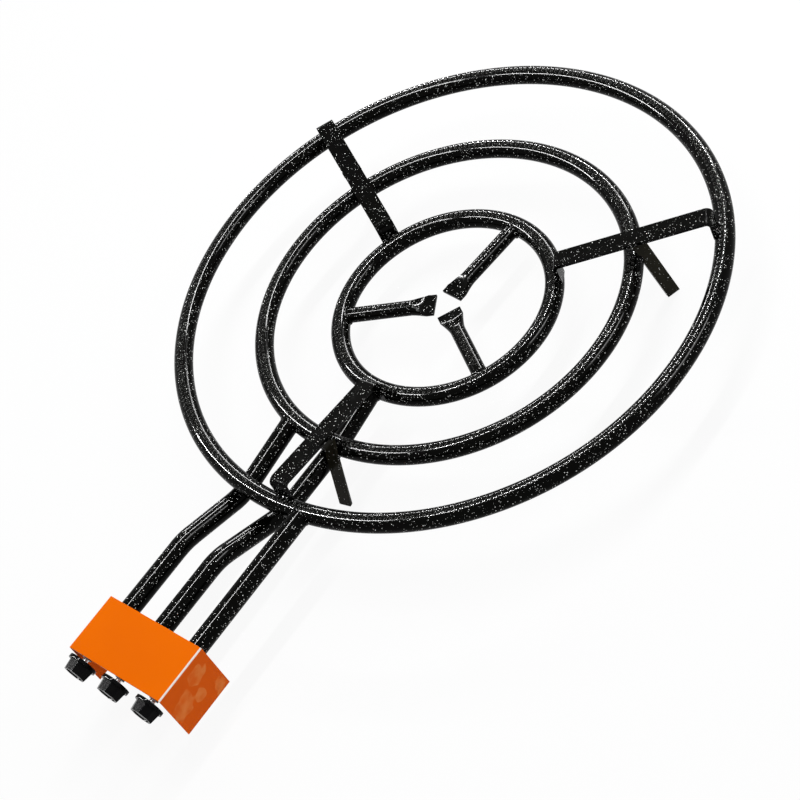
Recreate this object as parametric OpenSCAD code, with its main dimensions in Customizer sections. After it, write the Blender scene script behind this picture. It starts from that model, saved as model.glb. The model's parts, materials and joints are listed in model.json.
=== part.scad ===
// Gas paella burner: three stepped rings on fed tubes, sloping pan supports, strip legs,
// and a bank of three push-and-turn taps under a folded hood.
// Millimetres, +Z up. The taps point to -Y, the feet stand on Z = 0.

/* [Rings] */
// Outside diameter of the ring and feed tubes
tube_d = 20; // [18:0.5:22]
// Wall of the ring and feed tubes
tube_wall = 1.5; // [1:0.1:2.5]
// Centreline radius of the outer ring
outer_ring_r = 290; // [275:1:310]
// Centreline radius of the middle ring
middle_ring_r = 199; // [190:1:210]
// Centreline radius of the inner ring
inner_ring_r = 116; // [105:1:125]
// How far the middle ring lies below the outer ring
middle_drop = 12; // [10:0.5:14]
// How far the inner ring lies below the outer ring
inner_drop = 25; // [23:0.5:28]
// How far the middle ring's centre lies towards the taps
middle_offset = 6; // [0:0.5:10]
// How far the inner ring's centre lies towards the taps
inner_offset = 10; // [0:0.5:14]
// Diameter of a flame port
port_d = 2.2; // [1.5:0.1:3]
// Distance between flame ports along a ring
port_pitch = 36; // [24:1:80]

/* [Centre spokes] */
// Outside diameter of a spoke tube
spoke_d = 16; // [12:0.5:18]
// Distance from the inner ring's centre to a spoke's flattened tip
spoke_tip_r = 12; // [11:0.5:24]
// Width of the flattened tip
crimp_w = 26; // [18:0.5:27]
// Length of the flat at the tip
crimp_flat = 7; // [4:0.5:12]
// Length over which the tube flattens
crimp_run = 20; // [12:0.5:30]

/* [Feed tubes] */
// How far the tube bank stands beside the rings' axis
bank_shift = -6.3; // [-10:0.1:6]
// Distance from the rings' axis to the tubes' tap end
tube_end = 471; // [455:1:500]
// Distance from the rings' axis to the first downward bend
dip_start = 367; // [355:1:380]
// Depth of the middle ring's feed tube where it passes under the outer ring
middle_dip = 24; // [23:0.5:28]
// Depth of the inner ring's feed tube where it passes under the other rings
inner_dip = 35; // [34:0.5:40]
// Centreline radius of the tube bends
tube_bend_r = 60; // [45:1:80]

/* [Pan supports and legs] */
// Height of a support's outer end above the outer ring's centre plane
support_rise = 30; // [24:0.5:36]
// Width of the support bar
support_w = 20; // [16:0.5:26]
// Thickness of the support bar
support_t = 4; // [3:0.25:5]
// Turn of the three supports about the rings' axis
support_turn = 33.3; // [30:0.1:36]
// Width of a leg strip
leg_w = 14; // [10:0.5:16]
// Thickness of a leg strip
leg_t = 4; // [3:0.25:5]
// Height of the outer ring's centre plane above the floor
ring_height = 73; // [66:0.5:85]
// Mean outward splay of the legs
leg_splay = 13; // [8:0.5:16]

/* [Hood] */
// Width of the hood, which also spreads the tubes and taps
hood_w = 130; // [116:1:150]
// Depth of the hood, front to back
hood_depth = 62.5; // [58:0.5:63]
// Height of the hood's end plates
hood_h = 64; // [54:0.5:68]
// Sheet thickness of the hood
sheet_t = 1.5; // [1:0.1:2]
// Thickness of the bar that carries the hood across the tubes
crossbar_t = 4; // [3.5:0.25:5]

/* [Taps] */
// How far the tap spindles lie above the feed tubes
tap_rise = 3.5; // [2.5:0.1:3.9]
// Diameter of the tap barrel
barrel_d = 19; // [18.5:0.1:19.5]
// Length of the tap barrel
barrel_l = 30; // [30:0.5:32]
// Diameter of the spindle
stem_d = 6; // [5:0.25:6.5]
// Push travel of the spindle
push_travel = 3; // [2:0.25:3]
// Diameter of the knob's skirt
knob_skirt_d = 30; // [27:0.5:34]
// Diameter across the knob's corners at its front
knob_front_d = 24; // [21:0.5:25]
// Length of the knob
knob_l = 14.5; // [13:0.5:18]

/* [Gas supply] */
// Outside diameter of the supply pipe
pipe_d = 16; // [14:0.5:17]
// Wall of the supply pipe
pipe_wall = 2; // [1.5:0.1:2.5]
// Outside diameter of the inlet thread
inlet_d = 20; // [18:0.5:21]
// Length of inlet thread left free for a union nut
inlet_free_l = 11; // [8:0.5:12]

/* [Hidden] */
$fn = 64;
// Overrun of every cut, and the play of welded, seated and running fits
overrun = 1;
weld_gap = 0.3;
seat_gap = 0.05;
run_gap = 0.06;
// Steps of a strip's bend, and the lap and swell of a rod's bend
bend_steps = 8;
bend_lap = 0.5;
bend_swell = 0.1;

tube_r = tube_d / 2;
bore_d = tube_d - 2 * tube_wall;
gas_hole_d = 12;
spoke_wall = 1.5;
// Turn of the spokes about the inner ring's centre and sideways shift, as welded
spoke_turns = [-150.2, -32.4, 84.4];
spoke_shifts = [-1.8, -1, 2.8];
port_row_turn = 14;
port_start_turn = 90;
spoke_port_pitch = 12;
mid_share = 0.5;

// Feed tubes from left to right feed the middle, the inner and the outer ring.
// The outer taps stand off the hood's ends by hood_end_room
hood_end_room = 17;
tube_pitch = hood_w / 2 - hood_end_room;
bank_x = [for (i = [-1 : 1]) bank_shift + i * tube_pitch];
middle_dip_run = 77;
inner_dip_run = 82;
inner_rise_run = 62;
window_l = 9;
window_w = 10;
window_inset = 6;

support_bend_r = 5;
// Turn and sideways shift of each bar, as hand-welded
support_turns = [for (a = [0, 117.4, 240]) support_turn + a];
support_shifts = [0, 22, 0];
// Turn of each leg strip from its bar's line, its shift from it and its own part of the splay
leg_twists = [37, 90, 97];
leg_shifts = [0, 0, 4.5];
leg_splay_steps = [-2.5, 0, 2.5];
// Distance from the middle ring's skin to a leg's centre
leg_stand_off = 3;

hood_fold_r = 2.5;
jet_flange_l = 3;
hood_lip_l = 12;
hood_front = tube_end + jet_flange_l + barrel_l + hood_lip_l;
hood_back = hood_front - hood_depth;
hood_top = tube_r + weld_gap + crossbar_t + sheet_t;
crossbar_w = 10;
crossbar_inset = 4;

// Tap stations are distances from the rings' axis, growing towards the knob
barrel_back = tube_end + jet_flange_l;
barrel_front = barrel_back + barrel_l;
jet_tail_d = 8;
jet_tail_l = 4.8;
jet_spigot_l = 4;
jet_nose_l = 5;
jet_nose_d = 7;
jet_tip_d = 3;
jet_bore_d = 3;
jet_hole_d = 1;
passage_d = 3;
taper_inset = 9;
taper_l = 11;
taper_back = barrel_back + taper_inset;
taper_front = taper_back + taper_l;
taper_small_r = 4.5;
taper_large_r = 5.5;
chamber_r = 5.8;
inlet_inset = 12;
inlet_port = barrel_back + inlet_inset;
plug_end_gap = 0.5;
low_hole_d = 1;
slot_w = 2.5;
slot_end_gap = 0.2;
tang_w = 7.4;
tang_engaged = 2;
// The tang stays in the slot and the spindle clears the plug over the whole push
slot_depth = tang_engaged + push_travel + slot_end_gap;
tang_l = slot_depth;
collar_r = 5.2;
collar_l = 1.8;
spring_wire_r = 0.4;
spring_r = 4.75;
spring_turns = 5;
spring_turn_steps = 8;
spring_sides = 6;
bonnet_d = 20;
bonnet_l = 6;
nose_d = 10;
nose_l = 5;
screw_r = 7.5;
screw_shank_d = 2.4;
screw_head_d = 4.4;
screw_head_l = 1.8;
screw_grip = 8;
spigot_d = 10;
spigot_end_l = 1;
spigot_bore_d = 5;
knob_stop_gap = 0.5;
knob_back = hood_front + push_travel + knob_stop_gap;
knob_front = knob_back + knob_l;
knob_skirt_l = 3.6;
knob_base_d = 27;
knob_dish = 0.8;
knob_dish_d = 18;
knob_sides = 8;
stem_grip = 10.3;
stem_flat = 0.8;

pipe_gap = 1.5;
pipe_z = tap_rise - barrel_d / 2 - pipe_gap - pipe_d / 2;
pipe_bore_d = pipe_d - 2 * pipe_wall;
pipe_end_gap = 5.3;
plug_end_room = 1.5;
stub_l = 4.4;
collar_hex = 24;
locknut_hex = 27;
locknut_l = 4;
// The nipple's thicker shank passes through the end plate, washer and locknut
shoulder_step = 1;
shoulder_d = inlet_d + 2 * shoulder_step;
washer_d = 28;
washer_t = 1;
plug_hex = 16;
plug_head_l = 4;

// The origin is the middle of the burner's outline, on the floor
mid_y = (outer_ring_r + tube_r - knob_front) / 2;

enamel = "#17181a";
orange = "#f26b0c";
brass = "#b8924a";
steel = "#9a9da1";
blackened = "#222224";
plastic = "#1d1d1f";

// Moves a piece from the outer ring's centre to the burner's own origin
module placed() {
    translate([0, -mid_y, ring_height]) children();
}

// Paths are polylines whose corners are round bends of radius r
function wrapped(a) = a > 180 ? a - 360 : a < -180 ? a + 360 : a;
function heading(p, i) = atan2(p[i + 1][1] - p[i][1], p[i + 1][0] - p[i][0]);
function bend_at(p, i) = wrapped(heading(p, i) - heading(p, i - 1));
function trim_at(p, i, r) =
    i == 0 || i == len(p) - 1 ? 0 : r * tan(abs(bend_at(p, i)) / 2);
function toward(h, d) = d * [cos(h), sin(h)];
function bend_centre(p, i, r) =
    let (h = heading(p, i - 1), s = sign(bend_at(p, i)))
    p[i] - toward(h, trim_at(p, i, r)) + toward(h + 90, s * r);

// One side of a strip of sheet or flat bar that follows a path, at a sideways distance
function strip_side(p, r, off) =
    let (last = len(p) - 1)
    concat(
        [p[0] + toward(heading(p, 0) + 90, off)],
        [
            for (i = [1 : last - 1], k = [0 : bend_steps])
                let (
                    b = bend_at(p, i),
                    from = heading(p, i - 1) - sign(b) * 90
                )
                bend_centre(p, i, r) + toward(from + b * k / bend_steps, r - sign(b) * off)
        ],
        [p[last] + toward(heading(p, last - 1) + 90, off)]
    );
function reversed(v) = [for (i = [len(v) - 1 : -1 : 0]) v[i]];

module strip(p, r, t, w) {
    linear_extrude(w, center = true)
        polygon(concat(strip_side(p, r, t / 2), reversed(strip_side(p, r, -t / 2))));
}

// A round rod along a path; its bends lap the straight runs and are a hair thicker
module rod(p, r, d) {
    for (i = [0 : len(p) - 2]) {
        run = norm(p[i + 1] - p[i]) - trim_at(p, i, r) - trim_at(p, i + 1, r);
        translate([p[i][0], p[i][1], 0])
            rotate([0, 0, heading(p, i)])
            translate([trim_at(p, i, r), 0, 0])
            rotate([0, 90, 0])
            cylinder(d = d, h = run);
    }
    if (len(p) > 2) for (i = [1 : len(p) - 2]) {
        b = bend_at(p, i);
        lap = bend_lap / r * 180 / PI;
        c = bend_centre(p, i, r);
        translate([c[0], c[1], 0])
            rotate([0, 0, heading(p, i - 1) - sign(b) * 90 + min(b, 0) - lap])
            rotate_extrude(angle = abs(b) + 2 * lap)
            translate([r, 0])
            circle(d = d + 2 * bend_swell);
    }
}

// The same path, run on past both ends
function run_on(p, by) =
    let (last = len(p) - 1)
    [
        for (i = [0 : last])
            i == 0 ? p[0] - toward(heading(p, 0), by)
            : i == last ? p[last] + toward(heading(p, last - 1), by)
            : p[i]
    ];

// Distance along a line to a ring whose centre is offset to -Y; the line is turned about the
// rings' axis and passes it at the given shift
function ring_ray(r, offset, turn, shift) =
    let (across = shift + offset * cos(turn)) -offset * sin(turn) + sqrt(r * r - across * across);
// Distance from the rings' axis, towards the taps, to a ring's centreline at a given X
function ring_reach(r, offset, x) = offset + sqrt(r * r - x * x);

module at_ring(offset, drop) {
    translate([0, -offset, -drop]) children();
}

module ring_solid(r, play) {
    rotate_extrude() translate([r, 0]) circle(r = tube_r + play);
}

module ring_ports(r) {
    count = round(2 * PI * r / port_pitch);
    for (k = [0 : count - 1]) {
        side = k % 2 == 0 ? 1 : -1;
        rotate([0, 0, (k + mid_share) * 360 / count])
            translate([r, 0, 0])
            rotate([0, side * port_row_turn, 0])
            rotate([0, 0, port_start_turn])
            cylinder(d = port_d, h = tube_r + overrun);
    }
}

module ring(r, offset, drop, feed_x) {
    feed_y = sqrt(r * r - feed_x * feed_x);
    color(enamel) at_ring(offset, drop)
        difference() {
            rotate_extrude() translate([r, 0])
                difference() {
                    circle(d = tube_d);
                    circle(d = bore_d);
                }
            ring_ports(r);
            translate([feed_x, -feed_y, 0])
                rotate([90, 0, 0])
                cylinder(d = gas_hole_d, h = tube_r + overrun);
        }
}

module outer_ring() {
    ring(outer_ring_r, 0, 0, bank_x[2]);
}

module middle_ring() {
    ring(middle_ring_r, middle_offset, middle_drop, bank_x[0]);
}

module inner_ring() {
    ring(inner_ring_r, inner_offset, inner_drop, bank_x[1]);
}

// A spoke is a tube from the inner ring, flattened shut at its tip
module centre_spoke(i) {
    round_from = spoke_tip_r + crimp_flat + crimp_run;
    flat_t = 2 * spoke_wall;
    sides = 32;
    round_l = inner_ring_r - tube_r - round_from;
    spoke_port_count = floor(round_l / spoke_port_pitch);
    color(enamel) at_ring(inner_offset, inner_drop) rotate([0, 0, spoke_turns[i]])
        translate([0, spoke_shifts[i], 0]) difference() {
            union() {
                translate([round_from + bend_lap, 0, 0]) rotate([0, 90, 0])
                    cylinder(d = spoke_d, h = inner_ring_r - round_from);
                hull() {
                    translate([round_from, 0, 0]) rotate([0, 90, 0])
                        cylinder(d = (spoke_d + 2 * bend_swell) / cos(180 / sides), h = 2 * bend_lap,
                            $fn = sides);
                    translate([spoke_tip_r, -crimp_w / 2, -flat_t / 2])
                        cube([crimp_flat, crimp_w, flat_t]);
                }
            }
            translate([round_from, 0, 0]) rotate([0, 90, 0])
                cylinder(d = spoke_d - 2 * spoke_wall, h = inner_ring_r);
            for (k = [0 : spoke_port_count - 1])
                translate([round_from + (k + mid_share) * round_l / spoke_port_count, 0, 0])
                    cylinder(d = port_d, h = spoke_d / 2 + overrun);
            translate([0, -spoke_shifts[i], 0]) ring_solid(inner_ring_r, weld_gap);
        }
}

// Feed tubes run in upright planes, so each is a path of distance and height
function outer_path() = [
    [-tube_end, 0],
    [-ring_reach(outer_ring_r, 0, bank_x[2]), 0]
];
function middle_path() = [
    [-tube_end, 0],
    [-dip_start, 0],
    [middle_dip_run - dip_start, -middle_dip],
    [-ring_reach(middle_ring_r, middle_offset, bank_x[0]), -middle_drop]
];
function inner_path() =
    let (reach = ring_reach(inner_ring_r, inner_offset, bank_x[1]))
    [
        [-tube_end, 0],
        [-dip_start, 0],
        [inner_dip_run - dip_start, -inner_dip],
        [-reach - inner_rise_run, -inner_dip],
        [-reach, -inner_drop]
    ];

module along_tube(path, x, d) {
    translate([x, 0, 0]) rotate([90, 0, 90]) rod(path, tube_bend_r, d);
}

module feed_tube(path, x) {
    difference() {
        along_tube(path, x, tube_d);
        along_tube(run_on(path, overrun), x, bore_d);
        // Air windows on both sides, under the hood
        translate([x - tube_r - overrun, window_inset - tube_end, -window_w / 2])
            cube([tube_d + 2 * overrun, window_l, window_w]);
    }
}

module outer_feed_tube() {
    color(enamel) difference() {
        feed_tube(outer_path(), bank_x[2]);
        ring_solid(outer_ring_r, weld_gap);
    }
}

module middle_feed_tube() {
    color(enamel) difference() {
        feed_tube(middle_path(), bank_x[0]);
        at_ring(middle_offset, middle_drop) ring_solid(middle_ring_r, weld_gap);
    }
}

module inner_feed_tube() {
    color(enamel) difference() {
        feed_tube(inner_path(), bank_x[1]);
        at_ring(inner_offset, inner_drop) ring_solid(inner_ring_r, weld_gap);
    }
}

// A support is a flat bar with both ends bent down onto the rings
function support_out(i) =
    ring_ray(outer_ring_r - tube_r + support_t / 2, 0, support_turns[i], support_shifts[i]);
function support_in(i) =
    ring_ray(inner_ring_r + tube_r - support_t / 2, inner_offset, support_turns[i], support_shifts[i]);
function support_path(i) =
    let (outer_z = support_rise - support_t / 2)
    [
        [support_out(i), 0],
        [support_out(i), outer_z],
        [support_in(i), outer_z - inner_drop],
        [support_in(i), -inner_drop]
    ];

module at_bar(i) {
    rotate([0, 0, support_turns[i]]) translate([0, support_shifts[i], 0]) children();
}

module pan_support(i) {
    color(enamel) difference() {
        at_bar(i) rotate([90, 0, 0])
            strip(support_path(i), support_bend_r, support_t, support_w);
        ring_solid(outer_ring_r, weld_gap);
        at_ring(inner_offset, inner_drop) ring_solid(inner_ring_r, weld_gap);
        along_tube(inner_path(), bank_x[1], tube_d + 2 * weld_gap);
    }
}

// A leg hangs from its support, is notched over the middle ring and stands on the floor
module leg(i) {
    path = support_path(i);
    slope = atan2(inner_drop, support_out(i) - support_in(i));
    shift = support_shifts[i] + leg_shifts[i];
    reach = ring_ray(middle_ring_r + tube_r, middle_offset, support_turns[i], shift);
    span = support_rise + ring_height;
    block = outer_ring_r;
    color(enamel) difference() {
        at_bar(i) difference() {
            translate([reach + leg_stand_off, leg_shifts[i], -middle_drop])
                rotate([0, -leg_splay - leg_splay_steps[i], 0])
                rotate([0, 0, leg_twists[i]])
                cube([leg_w, leg_t, 2 * span], center = true);
            translate([path[2][0], 0, path[2][1]])
                rotate([0, -slope, 0])
                translate([-block / 2, -block / 2, -support_t / 2])
                cube([2 * block, block, span]);
            translate([0, -block / 2, -ring_height - span])
                cube([2 * block, block, span]);
        }
        at_ring(middle_offset, middle_drop) ring_solid(middle_ring_r, weld_gap);
    }
}

module tube_crossbar() {
    run = hood_w - 2 * hood_fold_r - 2 * weld_gap;
    color(enamel)
        translate([bank_shift - run / 2, -hood_back - crossbar_inset - crossbar_w, tube_r + weld_gap])
        cube([run, crossbar_w, crossbar_t]);
}

// The hood is one sheet folded down at both ends, open in front, behind and below
module control_hood() {
    half = (hood_w - sheet_t) / 2;
    z = hood_top - sheet_t / 2;
    path = [
        [bank_shift - half, hood_top - hood_h],
        [bank_shift - half, z],
        [bank_shift + half, z],
        [bank_shift + half, hood_top - hood_h]
    ];
    color(orange) difference() {
        translate([0, -(hood_front + hood_back) / 2, 0]) rotate([90, 0, 0])
            strip(path, hood_fold_r - sheet_t / 2, sheet_t, hood_depth);
        translate([bank_shift - half, -inlet_port, pipe_z]) rotate([0, 90, 0])
            cylinder(d = shoulder_d + 2 * seat_gap, h = 2 * sheet_t, center = true);
    }
}

// Supply pipe along X with a hole for each tap, plugged at one end and fed at the other
pipe_left = bank_shift - hood_w / 2 + sheet_t + pipe_end_gap;
pipe_right = bank_shift + hood_w / 2 - sheet_t - plug_end_room - plug_head_l;

module along_pipe(x) {
    translate([x, -inlet_port, pipe_z]) rotate([0, 90, 0]) children();
}

module gas_manifold() {
    color(steel) difference() {
        along_pipe(pipe_left) cylinder(d = pipe_d, h = pipe_right - pipe_left);
        along_pipe(pipe_left - overrun)
            cylinder(d = pipe_bore_d, h = pipe_right - pipe_left + 2 * overrun);
        for (x = bank_x)
            translate([x, -inlet_port, pipe_z])
                cylinder(d = spigot_d + 2 * seat_gap, h = pipe_d);
    }
}

module hexagon(across, h) {
    cylinder(d = across / cos(30), h = h, $fn = 6);
}

module manifold_plug() {
    color(brass) {
        along_pipe(pipe_right) hexagon(plug_hex, plug_head_l);
        along_pipe(pipe_right - stub_l) cylinder(d = pipe_bore_d - 2 * seat_gap, h = stub_l + overrun);
    }
}

hood_left = bank_shift - hood_w / 2;
inlet_out_l = washer_t + locknut_l + inlet_free_l;

module inlet_nipple() {
    color(brass) difference() {
        union() {
            along_pipe(hood_left - inlet_out_l) cylinder(d = inlet_d, h = inlet_out_l);
            along_pipe(hood_left - inlet_out_l + inlet_free_l)
                cylinder(d = shoulder_d, h = inlet_out_l - inlet_free_l + 2 * sheet_t);
            along_pipe(hood_left + sheet_t) hexagon(collar_hex, pipe_end_gap);
            along_pipe(pipe_left - overrun)
                cylinder(d = pipe_bore_d - 2 * seat_gap, h = stub_l + overrun);
        }
        along_pipe(hood_left - inlet_out_l - overrun)
            cylinder(d = spigot_bore_d, h = inlet_out_l + hood_w / 2);
    }
}

module inlet_washer() {
    color(steel) along_pipe(hood_left - washer_t)
        difference() {
            cylinder(d = washer_d, h = washer_t);
            translate([0, 0, -overrun])
                cylinder(d = shoulder_d + 2 * seat_gap, h = washer_t + 2 * overrun);
        }
}

module inlet_locknut() {
    color(brass) along_pipe(hood_left - washer_t - locknut_l)
        difference() {
            hexagon(locknut_hex, locknut_l);
            translate([0, 0, -overrun])
                cylinder(d = shoulder_d + 2 * seat_gap, h = locknut_l + 2 * overrun);
        }
}

// Tap pieces are drawn along the spindle: local Z grows towards the knob
module at_tap(i) {
    translate([bank_x[i], 0, tap_rise]) rotate([90, 0, 0]) children();
}

module at_tube(i) {
    translate([bank_x[i], 0, 0]) rotate([90, 0, 0]) children();
}

module injector(i) {
    jet_back = tube_end - jet_spigot_l;
    color(brass) at_tube(i)
        difference() {
            union() {
                translate([0, 0, jet_back - jet_nose_l])
                    cylinder(d1 = jet_tip_d, d2 = jet_nose_d, h = jet_nose_l);
                translate([0, 0, jet_back])
                    cylinder(d = bore_d - 2 * seat_gap, h = jet_spigot_l);
                translate([0, 0, tube_end])
                    cylinder(d = tube_d, h = barrel_back - tube_end);
                translate([0, 0, barrel_back])
                    cylinder(d = jet_tail_d, h = jet_tail_l);
            }
            translate([0, 0, jet_back - jet_nose_l - overrun])
                cylinder(d = jet_hole_d, h = jet_nose_l + 2 * overrun);
            translate([0, 0, jet_back])
                cylinder(d = jet_bore_d, h = barrel_back + jet_tail_l - jet_back + overrun);
        }
}

module valve_body(i) {
    color(brass) difference() {
        union() {
            at_tap(i) translate([0, 0, barrel_back]) cylinder(d = barrel_d, h = barrel_l);
            translate([bank_x[i], -inlet_port, pipe_z + pipe_bore_d / 2 - spigot_end_l])
                cylinder(d = spigot_d, h = tap_rise - pipe_z - pipe_bore_d / 2 + spigot_end_l);
        }
        translate([bank_x[i], -inlet_port, pipe_z])
            cylinder(d = spigot_bore_d, h = tap_rise - pipe_z);
        at_tube(i) translate([0, 0, barrel_back - overrun])
            cylinder(d = jet_tail_d + 2 * seat_gap, h = jet_tail_l + 2 * seat_gap + overrun);
        at_tube(i) translate([0, 0, barrel_back])
            cylinder(d = passage_d, h = taper_back - barrel_back + plug_end_gap);
        at_tap(i) {
            translate([0, 0, taper_back])
                cylinder(r1 = taper_small_r, r2 = taper_large_r, h = taper_front - taper_back);
            translate([0, 0, taper_front])
                cylinder(r = chamber_r, h = barrel_front - taper_front + overrun);
            screw_places() translate([0, 0, barrel_front - screw_grip])
                cylinder(d = screw_shank_d + 2 * seat_gap, h = screw_grip + overrun);
        }
    }
}

module screw_places() {
    for (side = [-1, 1]) translate([side * screw_r, 0, 0]) children();
}

module valve_bonnet(i) {
    color(blackened) at_tap(i) translate([0, 0, barrel_front])
        difference() {
            union() {
                cylinder(d = bonnet_d, h = bonnet_l);
                cylinder(d = nose_d, h = bonnet_l + nose_l);
            }
            translate([0, 0, -overrun])
                cylinder(d = stem_d + 2 * run_gap, h = bonnet_l + nose_l + 2 * overrun);
            screw_places() translate([0, 0, -overrun])
                cylinder(d = screw_shank_d + 2 * seat_gap, h = bonnet_l + 2 * overrun);
        }
}

module bonnet_screws() {
    color(steel) for (i = [0 : 2]) at_tap(i) screw_places() {
        translate([0, 0, barrel_front + bonnet_l]) cylinder(d = screw_head_d, h = screw_head_l);
        translate([0, 0, barrel_front - screw_grip + seat_gap])
            cylinder(d = screw_shank_d, h = screw_grip + bonnet_l);
    }
}

// The plug turns in the taper; its side hole meets the inlet at a quarter turn
module valve_plug(i) {
    back = taper_back + plug_end_gap;
    small_r = taper_small_r + (taper_large_r - taper_small_r) * plug_end_gap / (taper_front - taper_back);
    color(brass) at_tap(i)
        difference() {
            translate([0, 0, back])
                cylinder(r1 = small_r - run_gap, r2 = taper_large_r - run_gap, h = taper_front - back);
            translate([0, 0, back - overrun])
                cylinder(d = passage_d, h = inlet_port - back + overrun);
            translate([0, 0, inlet_port]) rotate([0, -90, 0])
                cylinder(d = passage_d, h = taper_large_r + overrun);
            translate([0, 0, inlet_port]) rotate([-90, 0, 0])
                cylinder(d = low_hole_d, h = taper_large_r + overrun);
            translate([-taper_large_r - overrun, -slot_w / 2, taper_front - slot_depth])
                cube([2 * taper_large_r + 2 * overrun, slot_w, slot_depth + overrun]);
        }
}

module valve_stem(i) {
    tail = taper_front - tang_engaged;
    collar = barrel_front - collar_l - seat_gap;
    tip = knob_back + stem_grip;
    color(steel) at_tap(i)
        difference() {
            union() {
                translate([-tang_w / 2, -slot_w / 2 + run_gap, tail])
                    cube([tang_w, slot_w - 2 * run_gap, tang_l]);
                translate([0, 0, tail + tang_l]) cylinder(d = stem_d, h = tip - tail - tang_l);
                translate([0, 0, collar]) cylinder(r = collar_r, h = collar_l);
            }
            translate([-stem_d / 2, stem_d / 2 - stem_flat, knob_back])
                cube([stem_d, stem_d, stem_grip + overrun]);
        }
}

// Return spring between the plug's face and the spindle's collar
module plug_spring(i) {
    from = taper_front + spring_wire_r + seat_gap;
    to = barrel_front - collar_l - 2 * seat_gap - spring_wire_r;
    rings = spring_turns * spring_turn_steps;
    pts = [
        for (k = [0 : rings], j = [0 : spring_sides - 1])
            let (
                a = 360 * k / spring_turn_steps,
                b = 360 * j / spring_sides,
                rr = spring_r + spring_wire_r * cos(b)
            )
            [rr * cos(a), rr * sin(a), from + (to - from) * k / rings + spring_wire_r * sin(b)]
    ];
    sides = [
        for (k = [0 : rings - 1], j = [0 : spring_sides - 1])
            let (a = k * spring_sides + j, b = k * spring_sides + (j + 1) % spring_sides)
            each [[a, a + spring_sides, b], [b, a + spring_sides, b + spring_sides]]
    ];
    first = [for (j = [1 : spring_sides - 2]) [0, j, j + 1]];
    end = rings * spring_sides;
    last = [for (j = [1 : spring_sides - 2]) [end, end + j + 1, end + j]];
    color(steel) at_tap(i)
        polyhedron(points = pts, faces = concat(sides, first, last));
}

module knob(i) {
    skirt_end = knob_back + knob_skirt_l;
    color(plastic) at_tap(i)
        difference() {
            union() {
                translate([0, 0, knob_back]) cylinder(d = knob_skirt_d, h = knob_skirt_l);
                translate([0, 0, skirt_end]) rotate([0, 0, 180 / knob_sides])
                    cylinder(d1 = knob_base_d, d2 = knob_front_d, h = knob_front - skirt_end,
                        $fn = knob_sides);
            }
            translate([0, 0, knob_front - knob_dish]) cylinder(d = knob_dish_d, h = knob_dish + overrun);
            difference() {
                translate([0, 0, knob_back - overrun])
                    cylinder(d = stem_d + 2 * seat_gap, h = stem_grip + seat_gap + overrun);
                translate([-stem_d, stem_d / 2 - stem_flat + seat_gap, knob_back - overrun])
                    cube([2 * stem_d, stem_d, stem_grip + 2 * overrun]);
            }
        }
}

placed() outer_ring();
placed() middle_ring();
placed() inner_ring();
placed() centre_spoke(0);  // centre_spoke_1
placed() centre_spoke(1);  // centre_spoke_2
placed() centre_spoke(2);  // centre_spoke_3
placed() outer_feed_tube();
placed() middle_feed_tube();
placed() inner_feed_tube();
placed() pan_support(0);  // pan_support_1
placed() pan_support(1);  // pan_support_2
placed() pan_support(2);  // pan_support_3
placed() leg(0);  // leg_1
placed() leg(1);  // leg_2
placed() leg(2);  // leg_3
placed() tube_crossbar();
placed() control_hood();
placed() gas_manifold();
placed() manifold_plug();
placed() inlet_nipple();
placed() inlet_washer();
placed() inlet_locknut();
placed() injector(0);  // injector_1
placed() injector(1);  // injector_2
placed() injector(2);  // injector_3
placed() valve_body(0);  // valve_body_1
placed() valve_body(1);  // valve_body_2
placed() valve_body(2);  // valve_body_3
placed() valve_bonnet(0);  // valve_bonnet_1
placed() valve_bonnet(1);  // valve_bonnet_2
placed() valve_bonnet(2);  // valve_bonnet_3
placed() bonnet_screws();
placed() valve_plug(0);  // valve_plug_1
placed() valve_plug(1);  // valve_plug_2
placed() valve_plug(2);  // valve_plug_3
placed() plug_spring(0);  // plug_spring_1
placed() plug_spring(1);  // plug_spring_2
placed() plug_spring(2);  // plug_spring_3
placed() valve_stem(0);  // valve_stem_1
placed() valve_stem(1);  // valve_stem_2
placed() valve_stem(2);  // valve_stem_3
placed() knob(0);  // knob_1
placed() knob(1);  // knob_2
placed() knob(2);  // knob_3
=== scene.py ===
"""Three-ring gas paella burner in black speckled enamel, with an orange hood over three taps."""

import json
import math
import random

import bmesh
import bpy
from mathutils import Matrix, Quaternion, Vector, noise

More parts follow.
